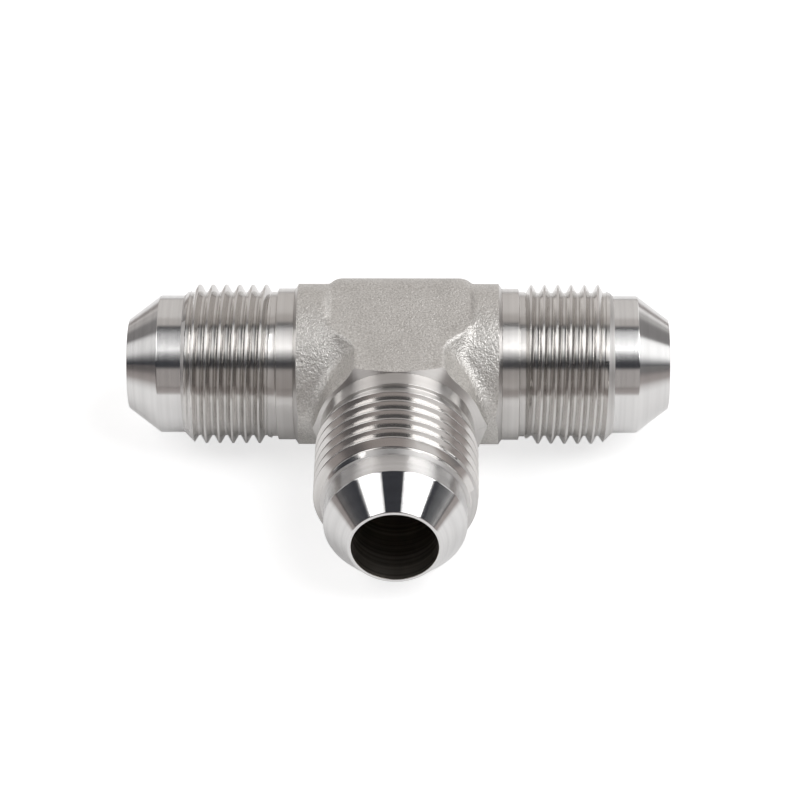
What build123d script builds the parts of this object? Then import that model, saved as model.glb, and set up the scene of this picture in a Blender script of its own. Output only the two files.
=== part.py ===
"""A flare tee fitting: one stainless forging with three equal male flare ends.

Frame: the run lies along X, the branch points along -Y and +Z is up. The origin is where the
run's axis and the branch's axis cross. The fitting lies on its round collars, flats level.
All sizes are in millimetres. A distance along an end is counted from the origin outwards.
"""
from build123d import *
from math import atan2, degrees, hypot, radians, tan
import os

# Turned ends: radii about the end's axis, and steps and lengths from one feature to the next
bore_radius = 4.97
tip_wall = 0.38
flare_half_angle = 37.0
nose_length = 2.85
nose_depth = 1.3
thread_radius = 9.5
thread_length = 9.2
thread_chamfer_angle = 45.0
undercut_depth = 0.85
undercut_length = 0.75
land_depth = 0.45
land_length = 2.0
land_edge = 0.12

# Turned shoulder, where the tool leaves the forging
shoulder_half_angle = 56.0
shoulder_clearance = 0.6

# Forging: round collars that cross at the middle, a thick boss and flats on the top and bottom
collar_step = 0.1
neck_length = 2.7
crotch_radius = 2.5
crotch_margin = 0.2
pad_drop = 0.5
pad_ramp_angle = 30.0
pad_wide_half = 8.3
pad_wide_front = 4.1
pad_narrow_half = 5.2
pad_corner_front = 7.3
pad_wall_depth = 4.8
pad_draft = 25.0
boss_back_radius = 7.0
boss_slope_length = 1.5
boss_slope_height = 0.85

# Radii that follow from the sizes above
tip_radius = bore_radius + tip_wall
nose_radius = thread_radius - nose_depth
undercut_radius = thread_radius - undercut_depth
land_radius = thread_radius - land_depth
collar_radius = thread_radius + collar_step
pad_height = collar_radius - pad_drop
shoulder_reach = hypot(collar_radius, pad_narrow_half) + shoulder_clearance
neck_crotch_radius = min(crotch_radius, neck_length - crotch_margin)

# Places along an end, from the crossing outwards
shoulder_end = collar_radius + neck_length
undercut_begin = shoulder_end + land_length
thread_begin = undercut_begin + undercut_length
thread_end = thread_begin + thread_length
nose_start = thread_end + nose_depth / tan(radians(thread_chamfer_angle))
cone_start = nose_start + nose_length
end_length = cone_start + (nose_radius - tip_radius) / tan(radians(flare_half_angle))

# Places across the middle
pad_back = collar_radius - boss_back_radius
boss_half_length = pad_wide_half - boss_slope_length


def turned_end():
    """The turned part of one end, made about the Z axis and not yet bored."""
    outline = [
        (0, 0),
        (land_radius, 0),
        (land_radius, undercut_begin - land_edge),
        (land_radius - land_edge, undercut_begin),
        (undercut_radius, undercut_begin),
        (undercut_radius, thread_begin),
        (thread_radius, thread_begin),
        (thread_radius, thread_end),
        (nose_radius, nose_start),
        (nose_radius, cone_start),
        (tip_radius, end_length),
        (0, end_length),
    ]
    with BuildPart() as end:
        with BuildSketch(Plane.XZ):
            with BuildLine():
                Polyline(*outline, close=True)
            make_face()
        revolve(axis=Axis.Z)
    return end.part


def shoulder_cut():
    """The ring of metal that the turning tool takes off the forging round one end."""
    run_out = (shoulder_reach - land_radius) / tan(radians(shoulder_half_angle))
    outline = [
        (land_radius, shoulder_end),
        (shoulder_reach, shoulder_end - run_out),
        (shoulder_reach, end_length),
        (land_radius, end_length),
    ]
    with BuildPart() as ring:
        with BuildSketch(Plane.XZ):
            with BuildLine():
                Polyline(*outline, close=True)
            make_face()
        revolve(axis=Axis.Z)
    return ring.part


def along_ends(shape):
    """Three copies of a shape made about +Z: along +X, -X and -Y."""
    return [
        Rot(0, 90, 0) * shape,
        Rot(0, -90, 0) * shape,
        Rot(90, 0, 0) * shape,
    ]


def collars():
    """The round forged necks that carry the ends, each as thick as the run."""
    neck = Cylinder(collar_radius, shoulder_end, align=(Align.CENTER, Align.CENTER, Align.MIN))
    run_left, run_right, branch = along_ends(neck)
    return run_left + run_right + branch


def wrench_pad():
    """The flat wrench pad, wide over the run and narrow along the branch, with drafted walls."""
    outline = [
        (pad_wide_half, pad_back),
        (pad_wide_half, -pad_wide_front),
        (pad_narrow_half, -pad_corner_front),
        (pad_narrow_half, -shoulder_end),
        (-pad_narrow_half, -shoulder_end),
        (-pad_narrow_half, -pad_corner_front),
        (-pad_wide_half, -pad_wide_front),
        (-pad_wide_half, pad_back),
    ]
    with BuildPart() as pad:
        with BuildSketch(Plane.XY.offset(pad_height)):
            with BuildLine():
                Polyline(*outline, close=True)
            make_face()
        extrude(amount=-pad_wall_depth, taper=-pad_draft)
    return pad.part


def boss():
    """The thick middle: a block rounded at its back, with ends that slope down to the collars."""
    section = Pos(collar_radius / 2, 0) * Rectangle(collar_radius, 2 * pad_height)
    back_corners = section.vertices().filter_by(lambda v: v.X > collar_radius / 2)
    section = fillet(back_corners, boss_back_radius)
    slope = degrees(atan2(boss_slope_height, boss_slope_length))
    half = extrude(Plane.YZ * section, boss_half_length)
    half += extrude(Plane.YZ.offset(boss_half_length) * section, boss_slope_length, taper=slope)
    return half + mirror(half, about=Plane.YZ)


def pad_trim():
    """The metal above the top pad's plane, with ramps that run up to the collars of the run."""
    rise = shoulder_reach - pad_height
    ramp = rise / tan(radians(pad_ramp_angle))
    outline = [
        (-pad_wide_half, pad_height),
        (pad_wide_half, pad_height),
        (pad_wide_half + ramp, pad_height + rise),
        (-pad_wide_half - ramp, pad_height + rise),
    ]
    with BuildPart() as trim:
        with BuildSketch(Plane.XZ):
            with BuildLine():
                Polyline(*outline, close=True)
            make_face()
        extrude(amount=end_length, both=True)
    return trim.part


def crotch_edges(forging):
    """The two curves, left and right of the branch, where its collar meets the run's."""
    curves = forging.edges().filter_by(GeomType.ELLIPSE)
    return curves.filter_by(lambda e: (e @ 0.5).Y < -collar_radius / 2)


def tee_body():
    """The whole fitting: forging, turned ends and bores."""
    forging = collars()
    pad = wrench_pad()
    forging = forging + pad + mirror(pad, about=Plane.XY) + boss()
    forging = fillet(crotch_edges(forging), neck_crotch_radius)
    trim = pad_trim()
    forging = forging - trim - mirror(trim, about=Plane.XY)
    for ring in along_ends(shoulder_cut()):
        forging = forging - ring
    for end in along_ends(turned_end()):
        forging = forging + end
    bore = Cylinder(bore_radius, end_length, align=(Align.CENTER, Align.CENTER, Align.MIN))
    run_left, run_right, branch = along_ends(bore)
    forging = forging - (run_left + run_right + branch)
    return forging


os.makedirs("parts", exist_ok=True)
body = tee_body()
export_step(body, "parts/tee_body.step")
print("tee_body", "solids", len(body.solids()), "volume", round(body.volume, 1))
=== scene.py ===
# %% [markdown]
# # A stainless flare tee fitting
# The real thing starts as one hot forging. Its three ends are then turned on a lathe, threaded and
# bored, and the forged middle keeps its grit-blasted skin. The scene follows the same order: a soft
# forged middle, three sharp turned ends, two finishes, and soft studio light on a white table.
#
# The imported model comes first. It is the fixed frame that every piece must fit.

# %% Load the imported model
import bpy
import bmesh
import math
import numpy as np
import openvdb
from mathutils import Matrix, Vector


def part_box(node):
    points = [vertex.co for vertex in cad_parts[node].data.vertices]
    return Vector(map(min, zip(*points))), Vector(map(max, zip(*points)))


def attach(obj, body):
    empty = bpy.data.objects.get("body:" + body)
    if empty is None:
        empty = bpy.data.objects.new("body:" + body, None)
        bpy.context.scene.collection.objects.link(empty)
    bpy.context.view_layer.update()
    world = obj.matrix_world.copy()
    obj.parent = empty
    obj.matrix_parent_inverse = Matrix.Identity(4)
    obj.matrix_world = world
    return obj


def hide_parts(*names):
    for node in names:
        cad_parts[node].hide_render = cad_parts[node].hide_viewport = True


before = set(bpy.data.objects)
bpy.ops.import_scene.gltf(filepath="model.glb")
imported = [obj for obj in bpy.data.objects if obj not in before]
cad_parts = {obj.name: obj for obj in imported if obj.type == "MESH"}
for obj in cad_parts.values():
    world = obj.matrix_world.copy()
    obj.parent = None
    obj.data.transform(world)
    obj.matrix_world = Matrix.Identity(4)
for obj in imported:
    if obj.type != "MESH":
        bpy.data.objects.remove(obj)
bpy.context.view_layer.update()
low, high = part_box("tee_body")

# %% [markdown]
# ## Camera
# The picture's straight edges and circles were measured, and the viewpoint that explains them best
# is a long lens about 40 cm away, 41 degrees above the table and almost square to the run. The
# camera is placed by its three directions: to its right, upwards in the picture, and forwards.

# %% Camera
mm = 0.001
picture_size = 800.0
focal_px = 3392.17
sensor_mm = 36.0
camera_elevation = math.radians(40.576)
camera_azimuth = math.radians(-1.172)
camera_roll = math.radians(-0.656)
camera_distance = 406.35
camera_side = -0.1677
camera_up = 4.3147


def camera_directions(azimuth, elevation, roll):
    """Forward points at the tee, right is level and up is their cross product; then both are rolled."""
    forward = np.array([math.sin(azimuth) * math.cos(elevation),
                        math.cos(azimuth) * math.cos(elevation),
                        -math.sin(elevation)])
    level = np.array([math.cos(azimuth), -math.sin(azimuth), 0.0])
    upright = np.cross(level, forward)
    right = math.cos(roll) * level + math.sin(roll) * upright
    up = -math.sin(roll) * level + math.cos(roll) * upright
    return right, up, forward


right, up, forward = camera_directions(camera_azimuth, camera_elevation, camera_roll)
place = -(camera_side * right + camera_up * up + camera_distance * forward) * mm
camera_data = bpy.data.cameras.new("camera")
camera_data.sensor_width = sensor_mm
camera_data.lens = focal_px / picture_size * sensor_mm
camera = bpy.data.objects.new("camera", camera_data)
bpy.context.scene.collection.objects.link(camera)
turn = np.column_stack([right, up, -forward])
camera.matrix_world = Matrix.Translation(Vector(place)) @ Matrix(turn.tolist()).to_4x4()
bpy.context.scene.camera = camera
print("camera at", [round(float(v), 4) for v in place], "lens", round(camera_data.lens, 2))

# %% [markdown]
# ## Sizes
# The sizes are the ones the CAD model is built from, in millimetres. The thread adds its own: a
# 60 degree thread, 16 turns to the inch, a little truncated at the crest and rounded at the root.

# %% Sizes shared by the pieces
bore_radius = 4.97
tip_radius = 5.35
nose_radius = 8.2
thread_radius = 9.5
root_radius = 8.56
undercut_radius = 8.65
land_radius = 9.05
collar_radius = 9.6
shoulder_end = 12.3
undercut_begin = 14.3
thread_begin = 15.05
thread_end = 24.25
nose_start = 25.55
cone_start = 28.4
end_length = cone_start + (nose_radius - tip_radius) / math.tan(math.radians(37.0))
thread_pitch = 25.4 / 16
pad_height = 9.1
print("end length", round(end_length, 3), "of", round(1000 * high[0], 3))

# %% [markdown]
# ## Mesh helpers
# A turned end's surface is a grid of points. Its seam and the places where rows meet are closed by
# merging points that coincide, so the piece is one watertight skin.

# %% Mesh helpers
def mesh_object(name, points, faces):
    """An object at the origin from points in millimetres and a list of faces."""
    data = bpy.data.meshes.new(name)
    data.from_pydata((np.asarray(points) * mm).tolist(), [], faces)
    data.update()
    thing = bpy.data.objects.new(name, data)
    bpy.context.scene.collection.objects.link(thing)
    return thing


def close_skin(thing, gap_mm=2e-4):
    """Merges coinciding points, drops faces of no area and turns all faces outwards."""
    skin = bmesh.new()
    skin.from_mesh(thing.data)
    bmesh.ops.remove_doubles(skin, verts=skin.verts, dist=gap_mm * mm)
    bmesh.ops.dissolve_degenerate(skin, edges=skin.edges, dist=0.2 * gap_mm * mm)
    bmesh.ops.recalc_face_normals(skin, faces=skin.faces)
    loose = sum(1 for e in skin.edges if len(e.link_faces) != 2)
    volume = skin.calc_volume(signed=True)
    skin.to_mesh(thing.data)
    skin.free()
    triangles = sum(len(p.vertices) - 2 for p in thing.data.polygons)
    print(thing.name, "triangles", triangles, "open edges", loose, "volume mm3", round(volume * 1e9, 1))


def smooth_with_edges(thing, angle=30.0):
    """Smooth shading that stays sharp where two faces meet at more than the angle."""
    thing.data.polygons.foreach_set("use_smooth", np.ones(len(thing.data.polygons), bool))
    thing.data.set_sharp_from_angle(angle=math.radians(angle))


# %% [markdown]
# ## The forged middle as a distance field
# A forging has no sharp edges: every form flows into the next. A distance field gives that for
# free. Each simple form is a function that says how far a point is from its surface, and two
# forms are joined by a smooth minimum, which fills the corner between them like a fillet.

# %% Distance functions
def smooth_min(a, b, k):
    """The smaller of two distances, with the corner between them filled over a width of k."""
    h = np.clip(k - np.abs(a - b), 0.0, None) / k
    return np.minimum(a, b) - h * h * k * 0.25


def smooth_max(a, b, k):
    """The larger of two distances, with the edge between them rounded over a width of k."""
    return -smooth_min(-a, -b, k)


def edge_line(p, q, a, b):
    """Signed distance to the line from a to b in a plane: positive on the right of the line."""
    length = math.hypot(b[0] - a[0], b[1] - a[1])
    return ((p - a[0]) * (b[1] - a[1]) - (q - a[1]) * (b[0] - a[0])) / length


# %% [markdown]
# The middle has four forms. Two round necks cross, a thick boss rounds the back, a flat wrench pad
# with drafted walls stands over the crossing, and the top and bottom are levelled at the pad's
# height, with short ramps up to the necks.

# %% Field of the forging
forging_offset = 0.27
pad_wide_half = 8.3
pad_wide_front = 4.1
pad_narrow_half = 5.2
pad_corner_front = 7.1
pad_draft_angle = math.radians(28.0)
boss_back_radius = 7.0
boss_half = 8.45
boss_corner_length = 1.5
boss_corner_height = 0.95
parting_bulge = 0.28


def forging_field(x, y, z):
    """Distance in mm to the forged middle at grid points: negative inside, positive outside."""
    side = np.abs(x - forging_offset)
    tall = np.abs(z)
    # necks: round, a little fuller at the parting plane, where the two dies met
    full = parting_bulge * np.clip(1 - tall / 7.0, 0, 1) ** 1.5
    run = np.hypot(y, z) - collar_radius - full
    branch = np.maximum(np.hypot(x - forging_offset, z) - collar_radius - full, y)
    fill = 0.9 + 2.2 * np.clip(1 - tall / 6.0, 0, 1)
    necks = smooth_min(run, branch, fill)
    # boss: a block with round back corners, whose ends drop off in a quarter ellipse
    t = np.clip((side - boss_half + boss_corner_length) / boss_corner_length, 0, 1)
    sink = boss_corner_height * (1 - np.sqrt(1 - t * t))
    corner_y = np.clip(y - (collar_radius - boss_back_radius), 0, None)
    corner_z = np.clip(tall - (pad_height - boss_back_radius), 0, None)
    boss = np.hypot(corner_y, corner_z) - boss_back_radius + sink
    boss = smooth_max(boss, -y - 1.5, 0.5)
    boss = smooth_max(boss, side - boss_half, 0.3)
    # pad: a plan with drafted walls, wide over the run and narrow along the branch
    spread = (pad_height - tall) * math.tan(pad_draft_angle)
    cosine = math.cos(pad_draft_angle)
    wide = smooth_max((side - pad_wide_half - spread) * cosine,
                      (edge_line(side, y, (pad_narrow_half, -pad_corner_front),
                                 (pad_wide_half, -pad_wide_front)) - spread) * cosine, 0.9)
    narrow = (side - pad_narrow_half - spread) * cosine
    plan = smooth_min(wide, narrow, 0.8)
    plan = smooth_max(plan, y - 3.0, 0.5)
    pad = smooth_max(plan, tall - pad_height, 0.3)
    whole = smooth_min(necks, boss, 0.5)
    whole = smooth_min(whole, pad, 0.6)
    # level the top and the bottom, with a ramp at each end of the pad
    ramp = tall - pad_height - np.clip(side - pad_wide_half, 0, None) * math.tan(math.radians(40.0))
    return smooth_max(whole, ramp, 0.3)


# %% [markdown]
# The field is sampled on a grid, and the surface where it is zero is drawn off as a mesh. The
# necks run a little past the turned shoulder, because the lathe cuts them back next.

# %% Mesh of the forging
cell = 0.2
reach = 13.0


def forged_blank():
    """The forging before turning, meshed from its field."""
    grid_x = np.arange(-reach - 1, reach + 1, cell)
    grid_y = np.arange(-reach - 1, collar_radius + 1, cell)
    grid_z = np.arange(-collar_radius - 1, collar_radius + 1, cell)
    x, y, z = np.meshgrid(grid_x, grid_y, grid_z, indexing="ij", sparse=True)
    field = forging_field(x, y, z)
    field = np.maximum(field, np.maximum(np.abs(x) - reach, -y - reach) + 0 * z)
    grid = openvdb.FloatGrid(3.0)
    grid.copyFromArray(np.ascontiguousarray(field, np.float32))
    points, quads = grid.convertToQuads(0.0)
    points = points * cell + np.array([grid_x[0], grid_y[0], grid_z[0]])
    blank = mesh_object("forged_middle", points, np.asarray(quads)[:, ::-1].tolist())
    close_skin(blank)
    return blank


forged_middle = forged_blank()

# %% [markdown]
# ## Turning the shoulders
# The lathe leaves a crisp edge where its cone runs out of the forged skin, and that edge is what
# makes the crescents beside the branch. So the cone is a real cutter here: a ring turned about each
# end's axis, taken away by a boolean. The bores are taken away in the same step.

# %% Cutters
ring_steps = 256
end_axes = {"left_end": (-1.0, 0.0), "right_end": (1.0, 0.0), "branch_end": (0.0, -1.0)}


def along_axis(radius, angle, distance, axis):
    """Points about an end's axis: distance runs along it and angle is counted from +Z."""
    ax, ay = axis
    across = radius * np.sin(angle)
    return np.stack([ax * distance - ay * across, ay * distance + ax * across,
                     radius * np.cos(angle) + 0 * distance], axis=-1)


def turned_ring(name, outline, axis, steps):
    """A closed outline of (radius, distance) pairs carried round an axis."""
    radius, distance = np.array(outline).T
    angle = np.arange(steps) * 2 * np.pi / steps
    points = along_axis(radius[:, None], angle[None, :], distance[:, None] + 0 * angle, axis)
    rows, columns = np.meshgrid(np.arange(len(outline)), np.arange(steps), indexing="ij")
    below = (rows + 1) % len(outline)
    beside = (columns + 1) % steps
    faces = np.stack([rows * steps + columns, rows * steps + beside,
                      below * steps + beside, below * steps + columns], axis=-1).reshape(-1, 4)
    ring = mesh_object(name, points.reshape(-1, 3), faces.tolist())
    close_skin(ring)
    return ring


shoulder_slope = math.tan(math.radians(56.0))
shoulder_reach = 12.4


def cut_away(target, cutter):
    """Takes the cutter's space away from the target for good."""
    step = target.modifiers.new("cut", "BOOLEAN")
    step.operation = "DIFFERENCE"
    step.solver = "MANIFOLD"
    step.object = cutter
    evaluated = target.evaluated_get(bpy.context.evaluated_depsgraph_get())
    result = bpy.data.meshes.new_from_object(evaluated)
    target.modifiers.remove(step)
    old = target.data
    target.data = result
    bpy.data.meshes.remove(old)
    result.name = target.name
    bpy.data.objects.remove(cutter)


for name, axis in end_axes.items():
    cut_away(forged_middle, turned_ring("cutter", [
        (0.0, shoulder_end), (0.0, reach + 2), (shoulder_reach, reach + 2),
        (shoulder_reach, shoulder_end - (shoulder_reach - land_radius) / shoulder_slope),
        (land_radius, shoulder_end)], axis, ring_steps))
for name, axis in end_axes.items():
    cut_away(forged_middle, turned_ring("cutter", [
        (0.0, 0.0), (bore_radius, 0.0), (bore_radius, reach + 2), (0.0, reach + 2)], axis, 96))
print("after turning", len(forged_middle.data.polygons), "faces")

# %% [markdown]
# ## The turned ends
# One end is a single skin: a profile of radius against distance along the axis, carried round it.
# The thread is part of the same grid. Its rows climb by one pitch in each turn, so crests and
# roots run along the rows and stay sharp, and the rows are clipped where the thread begins and
# ends. An envelope cuts the thread off at the chamfer and at the undercut, as the lathe does.

# %% Profile of an end without its thread
def rounded(corners, radius, steps=3):
    """A polyline with each inner corner replaced by a short quadratic curve of the radius given.

    One more point on each side of the curve keeps the shading flat beyond it.
    """
    points = [corners[0]]
    for before, at, after in zip(corners, corners[1:], corners[2:]):
        before, at, after = np.array(before), np.array(at), np.array(after)
        go_in = (before - at) / np.linalg.norm(before - at)
        go_out = (after - at) / np.linalg.norm(after - at)
        start, end = at + go_in * radius, at + go_out * radius
        points.append(tuple(at + go_in * radius * 1.5))
        for t in np.linspace(0, 1, steps + 1):
            points.append(tuple((1 - t) ** 2 * start + 2 * t * (1 - t) * at + t * t * end))
        points.append(tuple(at + go_out * radius * 1.5))
    points.append(corners[-1])
    return points


inner_profile = rounded([
    (bore_radius, shoulder_end),
    (land_radius, shoulder_end),
    (land_radius, undercut_begin),
    (undercut_radius, undercut_begin + 0.1),
    (undercut_radius, thread_begin),
], 0.06)
outer_profile = rounded([
    (nose_radius, nose_start),
    (nose_radius, cone_start),
    (tip_radius, end_length),
    (bore_radius, end_length),
    (bore_radius, shoulder_end),
], 0.07)
print("profile points", len(inner_profile), "and", len(outer_profile))

# %% [markdown]
# The thread's own profile over one pitch is a flat root with rounded corners, two flanks at
# 30 degrees, and a narrow crest whose edges are just broken, so that they catch the light.

# %% Thread profile
def thread_rows():
    """Pairs of (place within a pitch from 0 to 1, radius), from one root to the next."""
    flank = (thread_radius - root_radius) * math.tan(math.radians(30.0)) / thread_pitch
    root_half = 0.5 - flank - 0.07
    corners = [(0.0, root_radius), (root_half, root_radius), (root_half + flank, thread_radius),
               (1 - root_half - flank, thread_radius), (1 - root_half, root_radius), (1.0, root_radius)]
    places = [0.0]
    radii = [root_radius]
    for index, (place, radius) in enumerate(corners[1:-1]):
        soft = 0.035 if radius == root_radius else 0.018
        span = (-1.45, -1, -1 / 3, 1 / 3, 1, 1.45)
        slope_in = (radius - corners[index][1]) / (place - corners[index][0])
        slope_out = (corners[index + 2][1] - radius) / (corners[index + 2][0] - place)
        for t in span:
            u = (t + 1) / 2
            start, end = radius - slope_in * soft, radius + slope_out * soft
            places.append(place + t * soft)
            if abs(t) <= 1:
                radii.append((1 - u) ** 2 * start + 2 * u * (1 - u) * radius + u * u * end)
            else:
                radii.append(radius + t * soft * (slope_out if t > 0 else slope_in))
    return np.array(places), np.array(radii)


row_places, row_radii = thread_rows()
print("rows in a pitch", len(row_places))

# %% [markdown]
# The grid of one end then has three bands of rows: the part inside the thread, the thread's
# climbing rows, and the nose with its cone, rim and bore. Where the seam closes, the climbing rows
# meet the next ones exactly, because a full turn moves them by a whole pitch.

# %% One turned end
columns_round = 256


def turned_end(name, axis, start_turn):
    """One turned, threaded and bored end as a closed skin about its axis."""
    angle = np.pi + np.arange(columns_round + 1) * 2 * np.pi / columns_round
    turns = np.arange(-2, int((nose_start - thread_begin) / thread_pitch) + 3)
    climb = (turns[:, None] + row_places[None, :]).reshape(-1) + start_turn
    radii = np.tile(row_radii, len(turns))
    distance = thread_begin + thread_pitch * (climb[:, None] + (angle[None, :] - np.pi) / (2 * np.pi))
    radius = radii[:, None] + 0 * distance
    clipped = np.clip(distance, thread_begin, nose_start)
    # where a row is clipped it lies on the end plane, at the radius that the envelope gives there
    envelope = np.minimum(undercut_radius + (clipped - thread_begin) * 1.6,
                          thread_radius - np.clip(clipped - thread_end, 0, None))
    radius = np.where(distance == clipped, np.minimum(radius, envelope), envelope)
    inner = np.array(inner_profile)
    outer = np.array(outer_profile)
    full = np.ones_like(angle)[None, :]
    all_radius = np.concatenate([inner[:, :1] * full, radius, outer[:, :1] * full])
    all_distance = np.concatenate([inner[:, 1:] * full, clipped, outer[:, 1:] * full])
    points = along_axis(all_radius, angle[None, :], all_distance, axis)
    rows, across = all_radius.shape
    i, j = np.meshgrid(np.arange(rows - 1), np.arange(across - 1), indexing="ij")
    faces = np.stack([i * across + j, i * across + j + 1,
                      (i + 1) * across + j + 1, (i + 1) * across + j], axis=-1).reshape(-1, 4)
    thing = mesh_object(name, points.reshape(-1, 3), faces.tolist())
    close_skin(thing)
    return thing


ends = {}
for name, axis, start_turn in (("left_end", (-1.0, 0.0), 0.6), ("right_end", (1.0, 0.0), 0.4),
                               ("branch_end", (0.0, -1.0), 0.7)):
    ends[name] = turned_end(name, axis, start_turn)
    smooth_with_edges(ends[name], 40.0)
smooth_with_edges(forged_middle, 28.0)

# %% [markdown]
# ## Finish of the turned ends
# Turned metal is covered with fine rings round the axis. They make a highlight spread along the
# axis and stay narrow round it. Each end gets its own copy of the finish, because its rings follow
# its own axis: a noise that is squeezed along the axis gives the rings as bumps, and a tangent
# with anisotropy gives the spread.

# %% Node helper
def new_material(name):
    """A material with an empty node tree, its principled shader and its output."""
    material = bpy.data.materials.new(name)
    material.use_nodes = True
    tree = material.node_tree
    tree.nodes.clear()
    shader = tree.nodes.new("ShaderNodeBsdfPrincipled")
    output = tree.nodes.new("ShaderNodeOutputMaterial")
    tree.links.new(shader.outputs["BSDF"], output.inputs["Surface"])
    return material, tree, shader


def add(tree, kind, settings=None, **inputs):
    """A node with its settings and inputs; an input is a value or another node's output."""
    node = tree.nodes.new(kind)
    for key, value in (settings or {}).items():
        setattr(node, key, value)
    for key, value in inputs.items():
        socket = node.inputs[int(key[1:])] if key[0] == "_" else node.inputs[key]
        if isinstance(value, bpy.types.NodeSocket):
            tree.links.new(value, socket)
        else:
            socket.default_value = value
    return node


# %% [markdown]
# The rings need the distance along the axis and from it. Both come from Object coordinates.

# %% Turned finish
def turned_finish(name, axis, roughness, spread, ring_depth, dark, light):
    """Turned stainless: rings as fine bumps, a tone that changes from ring to ring, and a spread."""
    material, tree, shader = new_material(name)
    where = add(tree, "ShaderNodeTexCoord").outputs["Object"]
    split = add(tree, "ShaderNodeSeparateXYZ", _0=where).outputs
    along = split["X"] if axis[0] else split["Y"]
    across = split["Y"] if axis[0] else split["X"]
    flat = add(tree, "ShaderNodeCombineXYZ", _0=across, _1=split["Z"]).outputs[0]
    radial = add(tree, "ShaderNodeVectorMath", {"operation": "LENGTH"}, _0=flat).outputs["Value"]
    rings = add(tree, "ShaderNodeCombineXYZ", _0=along, _1=radial).outputs[0]
    fine = add(tree, "ShaderNodeTexNoise", {"noise_dimensions": "2D"}, Vector=rings, Scale=9000.0,
               Detail=2.0, Roughness=0.6).outputs[0]
    broad = add(tree, "ShaderNodeTexNoise", {"noise_dimensions": "2D"}, Vector=rings, Scale=1800.0,
                Detail=2.0, Roughness=0.5).outputs[0]
    height = add(tree, "ShaderNodeMath", {"operation": "MULTIPLY_ADD"}, _0=broad, _1=1.5, _2=fine).outputs[0]
    bump = add(tree, "ShaderNodeBump", Strength=1.0, Distance=ring_depth * mm, Height=height)
    tone = add(tree, "ShaderNodeMapRange", _0=broad, _1=0.3, _2=0.7, _3=0.0, _4=1.0).outputs[0]
    colour = add(tree, "ShaderNodeMix", {"data_type": "RGBA"}, _0=tone, _6=(*dark, 1), _7=(*light, 1)).outputs[2]
    tree.links.new(colour, shader.inputs["Base Color"])
    shader.inputs["Metallic"].default_value = 1.0
    shader.inputs["Roughness"].default_value = roughness
    shader.inputs["Anisotropic"].default_value = spread
    direction = add(tree, "ShaderNodeCombineXYZ", _0=1.0 if axis[0] else 0.0, _1=0.0 if axis[0] else 1.0)
    tree.links.new(direction.outputs[0], shader.inputs["Tangent"])
    tree.links.new(bump.outputs[0], shader.inputs["Normal"])
    return material


turned_looks = {
    "thread": (0.16, 0.4, 0.0003, (0.60, 0.585, 0.57), (0.68, 0.665, 0.65)),
    "nose": (0.24, 1.0, 0.0008, (0.645, 0.64, 0.635), (0.70, 0.695, 0.69)),
    "bore": (0.34, 0.3, 0.0030, (0.36, 0.33, 0.295), (0.62, 0.585, 0.535)),
    "land": (0.30, 1.0, 0.0012, (0.60, 0.585, 0.57), (0.66, 0.645, 0.63)),
    "chamfer": (0.50, 0.6, 0.0020, (0.58, 0.57, 0.56), (0.66, 0.65, 0.64)),
    "cone": (0.13, 1.0, 0.0005, (0.645, 0.64, 0.635), (0.70, 0.695, 0.69)),
}
for name, axis in end_axes.items():
    for part, look in turned_looks.items():
        turned_finish(name + "_" + part + "_finish", axis, *look)

# %% [markdown]
# The nose and the cone seal the joint, so they were cut finer than the thread. The bore was only
# drilled, and shows coarse rings and scratches. Each face takes its finish by where it lies.

# %% Where each finish goes
def face_places(thing, axis):
    """For each face: distance along the end's axis and from it in mm, and its normal's two parts."""
    count = len(thing.data.polygons)
    centre, normal = np.empty(count * 3), np.empty(count * 3)
    thing.data.polygons.foreach_get("center", centre)
    thing.data.polygons.foreach_get("normal", normal)
    centre, normal = centre.reshape(-1, 3) / mm, normal.reshape(-1, 3)
    along = centre[:, 0] * axis[0] + centre[:, 1] * axis[1]
    across = centre[:, 1] * axis[0] - centre[:, 0] * axis[1]
    radius = np.hypot(across, centre[:, 2])
    facing = normal[:, 0] * axis[0] + normal[:, 1] * axis[1]
    side = normal[:, 1] * axis[0] - normal[:, 0] * axis[1]
    outward = (side * across + normal[:, 2] * centre[:, 2]) / np.maximum(radius, 1e-6)
    return along, radius, facing, outward


for name, axis in end_axes.items():
    for part in turned_looks:
        ends[name].data.materials.append(bpy.data.materials[name + "_" + part + "_finish"])
    along, radius, facing, outward = face_places(ends[name], axis)
    index = np.where(along > nose_start - 0.02, 1, 0)
    index[(radius < bore_radius + 0.02) & (outward < -0.5)] = 2
    index[(along > thread_end) & (index == 0) & (np.abs(facing - 0.707) < 0.03)] = 4
    index[(index == 1) & (along > cone_start - 0.02)] = 5
    index[(index == 0) & (outward > 0.9)] = 3
    index[along < thread_begin] = np.where(outward[along < thread_begin] < -0.5, 2, 3)
    ends[name].data.polygons.foreach_set("material_index", index.astype(np.int32))
    print(name, "faces by finish", dict(zip(turned_looks, np.bincount(index).tolist())))
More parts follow.
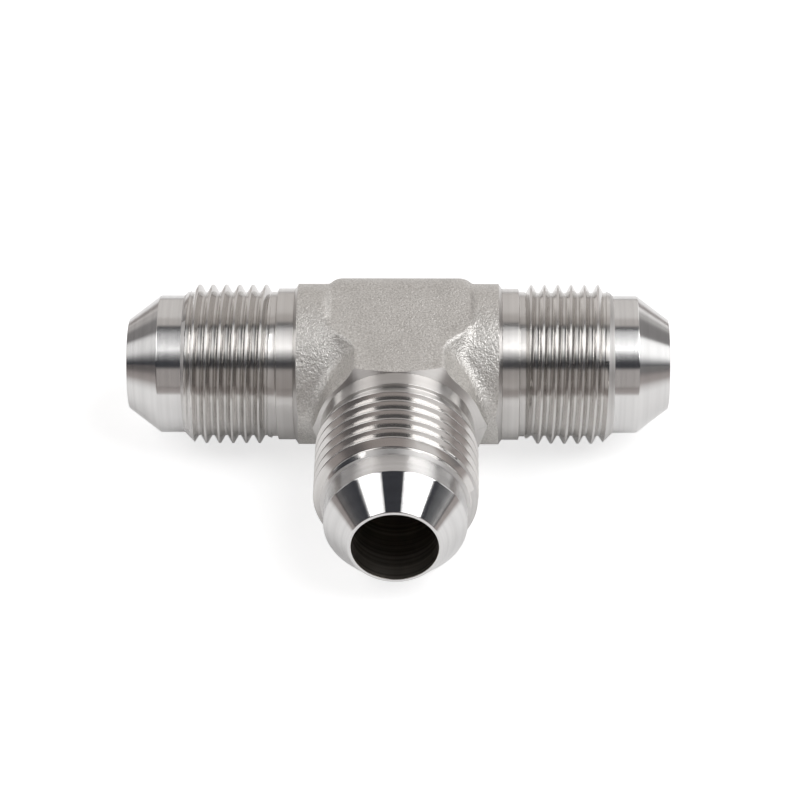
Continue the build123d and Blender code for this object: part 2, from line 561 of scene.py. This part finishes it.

# %% [markdown]
# ## Finish of the forged middle
# Grit blasting leaves a dull grey skin with a fine grain that sparkles, over the soft orange peel
# of the forging itself. A fine noise gives the grain, a coarse one the peel, and a broad one a slow
# drift in its tone.

# %% Blasted finish
def blasted_finish():
    """Dull blasted stainless: grain and peel as bumps, grain and a broad drift in its tone."""
    material, tree, shader = new_material("blasted_finish")
    where = add(tree, "ShaderNodeTexCoord").outputs["Object"]
    grain = add(tree, "ShaderNodeTexNoise", Vector=where, Scale=4600.0, Detail=2.0, Roughness=0.7).outputs[0]
    peel = add(tree, "ShaderNodeTexNoise", Vector=where, Scale=2300.0, Detail=2.0, Roughness=0.6).outputs[0]
    cloud = add(tree, "ShaderNodeTexNoise", Vector=where, Scale=260.0, Detail=4.0, Roughness=0.6).outputs[0]
    height = add(tree, "ShaderNodeMath", {"operation": "MULTIPLY_ADD"}, _0=grain, _1=0.35, _2=peel).outputs[0]
    bump = add(tree, "ShaderNodeBump", Strength=1.0, Distance=0.00013, Height=height)
    speck = add(tree, "ShaderNodeMapRange", _0=grain, _1=0.3, _2=0.72, _3=0.0, _4=0.8).outputs[0]
    drift = add(tree, "ShaderNodeMapRange", _0=cloud, _1=0.3, _2=0.7, _3=0.0, _4=0.2).outputs[0]
    tone = add(tree, "ShaderNodeMath", {"operation": "ADD"}, _0=speck, _1=drift).outputs[0]
    colour = add(tree, "ShaderNodeMix", {"data_type": "RGBA"}, _0=tone, _6=(0.42, 0.405, 0.385, 1),
                 _7=(0.80, 0.785, 0.76, 1)).outputs[2]
    tree.links.new(colour, shader.inputs["Base Color"])
    shader.inputs["Metallic"].default_value = 1.0
    shader.inputs["Roughness"].default_value = 0.48
    tree.links.new(bump.outputs[0], shader.inputs["Normal"])
    return material


forged_middle.data.materials.clear()
forged_middle.data.materials.append(blasted_finish())

# %% [markdown]
# The cones that the lathe cut into the forging are turned metal. They are found by their place:
# a face belongs to a cone when its middle and its direction both fit that cone.

# %% Turned shoulders on the forged middle
shoulder_cosine = math.sin(math.radians(56.0))
index = np.zeros(len(forged_middle.data.polygons), np.int32)
for number, (name, axis) in enumerate(end_axes.items()):
    forged_middle.data.materials.append(bpy.data.materials[name + "_land_finish"])
    forged_middle.data.materials.append(bpy.data.materials[name + "_bore_finish"])
    along, radius, facing, outward = face_places(forged_middle, axis)
    cone = land_radius + (shoulder_end - along) * shoulder_slope
    index[(np.abs(radius - cone) < 0.02) & (np.abs(facing - shoulder_cosine) < 0.05)] = 2 * number + 1
    index[(np.abs(radius - bore_radius) < 0.02) & (outward < -0.7) & (along > 0)] = 2 * number + 2
forged_middle.data.polygons.foreach_set("material_index", index)
print("faces on the middle by finish", np.bincount(index).tolist())

# %% [markdown]
# ## What the pieces stand for
# All four pieces together stand for the one CAD solid, which is hidden, and ride on its body.

# %% Ride on the frame
for piece in (forged_middle, *ends.values()):
    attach(piece, "root")
    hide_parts("tee_body")

# %% [markdown]
# ## Table and light
# The tee lies on a white table under two large soft boxes, to the left and to the right of the
# camera and above it, with a dark gap between them. Metal shows its surroundings, so the size and
# place of the boxes make the bands of light on the turned ends.

# %% Table
def table():
    """A large level sheet just under the tee: white to the camera; to the metal it is pale near the tee, with painted
    shade further out and a faint painted glow.
    """
    half = 3000.0
    corners = np.array([(-half, -half), (half, -half), (half, half), (-half, half)])
    level = np.full((4, 1), low[2] / mm - 0.01)
    sheet = mesh_object("table", np.hstack([corners, level]), [(0, 1, 2, 3)])
    material, tree, shader = new_material("table_white")
    shader.inputs["Roughness"].default_value = 0.9
    shader.inputs["Specular IOR Level"].default_value = 0.0
    where = add(tree, "ShaderNodeTexCoord").outputs["Object"]
    parts = add(tree, "ShaderNodeSeparateXYZ", _0=where).outputs
    # Painted shade: more than 54 to 66 mm in front of the tee, or 55 to 100 mm beside it, the table is painted dark
    # for the metal, which mirrors it as a dim band.
    aside = add(tree, "ShaderNodeMath", {"operation": "ABSOLUTE"}, _0=parts["X"]).outputs[0]
    front = add(tree, "ShaderNodeMapRange", _0=parts["Y"], _1=-0.066, _2=-0.054, _3=0.0, _4=1.0).outputs[0]
    beside = add(tree, "ShaderNodeMapRange", _0=aside, _1=0.1, _2=0.055, _3=0.0, _4=1.0).outputs[0]
    pale_near_painted_dark_far = add(tree, "ShaderNodeMath", {"operation": "MULTIPLY"}, _0=front, _1=beside).outputs[0]
    tone = add(tree, "ShaderNodeMix", {"data_type": "RGBA"}, _0=pale_near_painted_dark_far, _6=(0.36, 0.33, 0.32, 1),
               _7=(0.9, 0.9, 0.9, 1)).outputs[2]
    tree.links.new(tone, shader.inputs["Base Color"])
    # Painted light: for the metal the table also glows in its own tone at a strength of 0.12, brightening its
    # reflection.
    tree.links.new(tone, shader.inputs["Emission Color"])
    shader.inputs["Emission Strength"].default_value = 0.12
    rays = add(tree, "ShaderNodeLightPath")
    shade = add(tree, "ShaderNodeBsdfDiffuse", Color=(0.5, 0.5, 0.5, 1))
    glow = add(tree, "ShaderNodeEmission", Color=(1, 1, 1, 1), Strength=0.7)
    seen = add(tree, "ShaderNodeAddShader", _0=shade.outputs[0], _1=glow.outputs[0])
    pick = add(tree, "ShaderNodeMixShader", _0=rays.outputs["Is Camera Ray"], _1=shader.outputs[0], _2=seen.outputs[0])
    output = next(n for n in tree.nodes if n.type == "OUTPUT_MATERIAL")
    tree.links.new(pick.outputs[0], output.inputs["Surface"])
    sheet.data.materials.append(material)
    return sheet


table()

# %% Soft boxes
def soft_box(name, towards, lean, distance, width, height, radiance, colour):
    """A rectangular lamp that faces the tee; its width lies along X, then it leans by an angle."""
    towards = Vector(towards).normalized()
    lamp = bpy.data.lights.new(name, "AREA")
    lamp.shape = "RECTANGLE"
    lamp.size = width
    lamp.size_y = height
    lamp.energy = radiance * math.pi * width * height
    lamp.color = colour
    thing = bpy.data.objects.new(name, lamp)
    level = Vector((1, 0, 0))
    side = (level - level.dot(towards) * towards).normalized()
    side.rotate(Matrix.Rotation(math.radians(lean), 3, towards))
    turn = Matrix((side, towards.cross(side), towards)).transposed()
    thing.matrix_world = Matrix.Translation(towards * distance) @ turn.to_4x4()
    bpy.context.scene.collection.objects.link(thing)


soft_box("right_box", (0.565, -0.185, 0.804), -18, 0.6, 0.42, 0.44, 4.2, (1.0, 1.0, 1.0))
soft_box("left_box", (-0.622, -0.199, 0.757), 24, 0.6, 0.31, 0.46, 2.6, (1.0, 0.99, 0.985))

# %% [markdown]
# The room round the boxes is dark, with a paler wall behind, a brownish low part in front and pale
# panels far to the left and right. Two numbers tell a direction's place: its share to the right, and
# its tilt about the run, where 0 is level in front, 90 is up and 180 is level behind.

# %% World
world = bpy.data.worlds.new("room")
world.use_nodes = True
tree = world.node_tree
tree.nodes.clear()


def between(value, start, end, last_start=None, last_end=None):
    """Rises from 0 to 1 from start to end, and falls back to 0 from last_start to last_end."""
    rise = add(tree, "ShaderNodeMapRange", _0=value, _1=start, _2=end, _3=0.0, _4=1.0).outputs[0]
    if last_start is None:
        return rise
    fall = add(tree, "ShaderNodeMapRange", _0=value, _1=last_start, _2=last_end, _3=1.0, _4=0.0).outputs[0]
    return both(rise, fall)


def both(first, second):
    """The product of two masks."""
    return add(tree, "ShaderNodeMath", {"operation": "MULTIPLY"}, _0=first, _1=second).outputs[0]


def paint(under, mask, colour):
    """A colour laid over another where the mask is 1."""
    return add(tree, "ShaderNodeMix", {"data_type": "RGBA"}, _0=mask, _6=under, _7=colour).outputs[2]


where = add(tree, "ShaderNodeTexCoord").outputs["Generated"]
split = add(tree, "ShaderNodeSeparateXYZ", _0=where).outputs
share = split["X"]
ahead = both(split["Y"], -1.0)
turned = add(tree, "ShaderNodeMath", {"operation": "ARCTAN2"}, _0=split["Z"], _1=ahead).outputs[0]
tilt = both(turned, 180 / math.pi)

low_front = paint((0.36, 0.325, 0.31, 1), between(share, 0.05, 0.25, 0.5, 0.6), (0.85, 0.83, 0.82, 1))
low_front = paint(low_front, between(share, -0.35, -0.5), (0.13, 0.12, 0.12, 1))
low_front = paint(low_front, between(share, 0.65, 0.8), (0.22, 0.215, 0.215, 1))
room = paint((0.045, 0.047, 0.055, 1), between(tilt, 34, 30), low_front)
wall = paint((0.58, 0.55, 0.53, 1), between(tilt, 121, 126), (0.74, 0.71, 0.69, 1))
wall = paint(wall, both(between(share, 0.2, 0.35), between(tilt, 124, 134)), (1.2, 1.18, 1.17, 1))
wall = paint(wall, between(share, 0.55, 0.64), (0.55, 0.54, 0.53, 1))
wall = paint(wall, between(share, 0.68, 0.74), (0.28, 0.27, 0.27, 1))
wall = paint(wall, between(share, -0.58, -0.64), (0.5, 0.48, 0.47, 1))
wall = paint(wall, between(share, -0.7, -0.76), (0.25, 0.24, 0.24, 1))
room = paint(room, between(tilt, 105, 109), wall)
above = between(split["Z"], 0.02, 0.08)
right_panel = both(above, both(between(share, 0.86, 0.9), between(ahead, -0.34, -0.26, 0.08, 0.15)))
left_panel = both(above, both(between(share, -0.86, -0.9), between(ahead, -0.42, -0.34, -0.02, 0.08)))
room = paint(room, right_panel, (1.5, 1.5, 1.5, 1))
room = paint(room, left_panel, (0.95, 0.94, 0.94, 1))
rays = add(tree, "ShaderNodeLightPath")
seen = paint(room, rays.outputs["Is Camera Ray"], (1, 1, 1, 1))
background = add(tree, "ShaderNodeBackground", Color=seen, Strength=1.0)
output = tree.nodes.new("ShaderNodeOutputWorld")
tree.links.new(background.outputs[0], output.inputs["Surface"])
bpy.context.scene.world = world
bpy.context.scene.view_settings.view_transform = "Standard"
